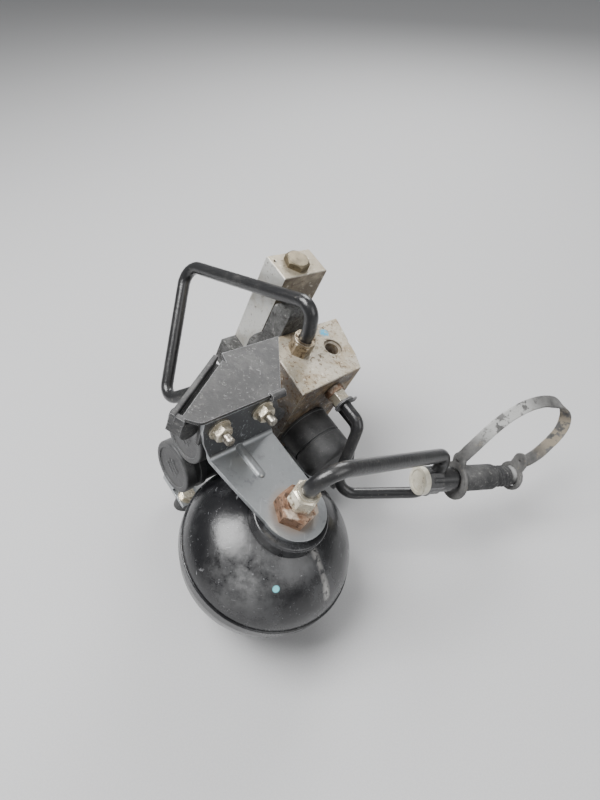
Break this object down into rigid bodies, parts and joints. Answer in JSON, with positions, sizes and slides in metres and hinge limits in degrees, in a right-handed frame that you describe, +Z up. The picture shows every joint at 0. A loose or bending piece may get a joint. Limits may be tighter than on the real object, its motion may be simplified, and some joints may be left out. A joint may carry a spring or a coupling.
{
  "type": "hydraulic accumulator and valve unit",
  "caption": "Hydraulic accumulator sphere on a sheet-steel bracket with an aluminium valve block, solenoids, bent steel pipes, a service tee and a tethered dust cap",
  "frame": {"origin": "middle of the bounding box's footprint, on the floor the unit lies on", "axes": "+Z up; +Y away from the side the unit is usually seen from, with the accumulator nearest; +X to the right, towards the tethered dust cap"},
  "size_m": [0.3038, 0.2532, 0.1773],
  "materials": {
    "black_enamel": "gloss",
    "plated_steel": "satin",
    "zinc": "satin",
    "rusty_steel": "rough",
    "sheet_black": "satin",
    "pipe_black": "semi gloss",
    "alloy": "cast, weathered",
    "plastic_black": "matt",
    "plastic_cream": "matt",
    "rubber": "matt",
    "brass": "aged",
    "copper": "enamelled",
    "spring_steel": "bright"
  },
  "bodies": {
    "unit": {"accumulator_lower_shell": "black_enamel", "accumulator_upper_shell": "black_enamel", "accumulator_weld_band": "black_enamel", "neck_boss": "black_enamel", "gas_plug": "zinc", "diaphragm": "rubber", "strap_bracket": "plated_steel", "flange_studs": "zinc", "flange_nuts": "zinc", "isolators": "rubber", "wing_bracket": "sheet_black", "base_bracket": "plated_steel", "foot_bolts": "zinc", "foot_rubbers": "rubber", "neck_adaptor": "rusty_steel", "neck_pipe_nut": "zinc", "sphere_pipe": "pipe_black", "loop_pipe_nut": "zinc", "loop_pipe": "pipe_black", "feed_port_collar": "rusty_steel", "feed_pipe_nut": "zinc", "feed_pipe_clip": "sheet_black", "feed_pipe": "pipe_black", "drain_tube": "pipe_black", "valve_block": "alloy", "front_solenoid_can": "plastic_black", "front_solenoid_coil": "copper", "front_solenoid_core": "spring_steel", "front_solenoid_spring": "spring_steel", "lower_plunger_spring": "spring_steel", "upper_plunger_spring": "spring_steel", "twin_solenoid_bodies": "plastic_black", "twin_solenoid_caps": "plastic_black", "twin_solenoid_coils": "copper", "bar_block": "alloy", "bar_hex_plug": "brass", "check_spring": "spring_steel", "rear_casting": "alloy", "service_tee": "pipe_black", "tee_end_plug": "plastic_cream", "service_pin_spring": "spring_steel", "cap_tether": "rubber"},
    "dust_cap": {"dust_cap": "rubber"},
    "front_plunger": {"front_solenoid_plunger": "spring_steel"},
    "plunger_low": {"lower_plunger": "spring_steel"},
    "plunger_high": {"upper_plunger": "spring_steel"},
    "poppet": {"check_poppet": "spring_steel"},
    "port_pin": {"service_pin": "spring_steel"},
    "button": {"diaphragm_button": "plated_steel"}
  },
  "joints": [
    {"name": "dust_cap_slide", "type": "slide", "parent": "unit", "child": "dust_cap", "axis": [0.9051, 0.291, -0.3099], "range_m": [0, 0.03], "deforming": ["cap_tether"]},
    {"name": "front_plunger_slide", "type": "slide", "parent": "unit", "child": "front_plunger", "axis": [0.5829, -0.7495, -0.3138], "range_m": [0, 0.004], "stiffness_N_per_m": 400, "deforming": ["front_solenoid_spring"]},
    {"name": "lower_plunger_slide", "type": "slide", "parent": "unit", "child": "plunger_low", "axis": [-0.7313, -0.6522, 0.1995], "range_m": [0, 0.004], "stiffness_N_per_m": 400, "deforming": ["lower_plunger_spring"]},
    {"name": "upper_plunger_slide", "type": "slide", "parent": "unit", "child": "plunger_high", "axis": [-0.7313, -0.6522, 0.1995], "range_m": [0, 0.004], "stiffness_N_per_m": 400, "deforming": ["upper_plunger_spring"]},
    {"name": "check_poppet_slide", "type": "slide", "parent": "unit", "child": "poppet", "axis": [0.3543, -0.1132, 0.9283], "range_m": [0, 0.005], "stiffness_N_per_m": 300, "deforming": ["check_spring"]},
    {"name": "service_pin_slide", "type": "slide", "parent": "unit", "child": "port_pin", "axis": [-0.9051, -0.291, 0.3099], "range_m": [0, 0.0012], "stiffness_N_per_m": 300, "deforming": ["service_pin_spring"]},
    {"name": "diaphragm_lift", "type": "slide", "parent": "unit", "child": "button", "axis": [-0.3543, 0.1132, -0.9283], "range_m": [0, 0.04], "stiffness_N_per_m": 60, "deforming": ["diaphragm"]}
  ]
}
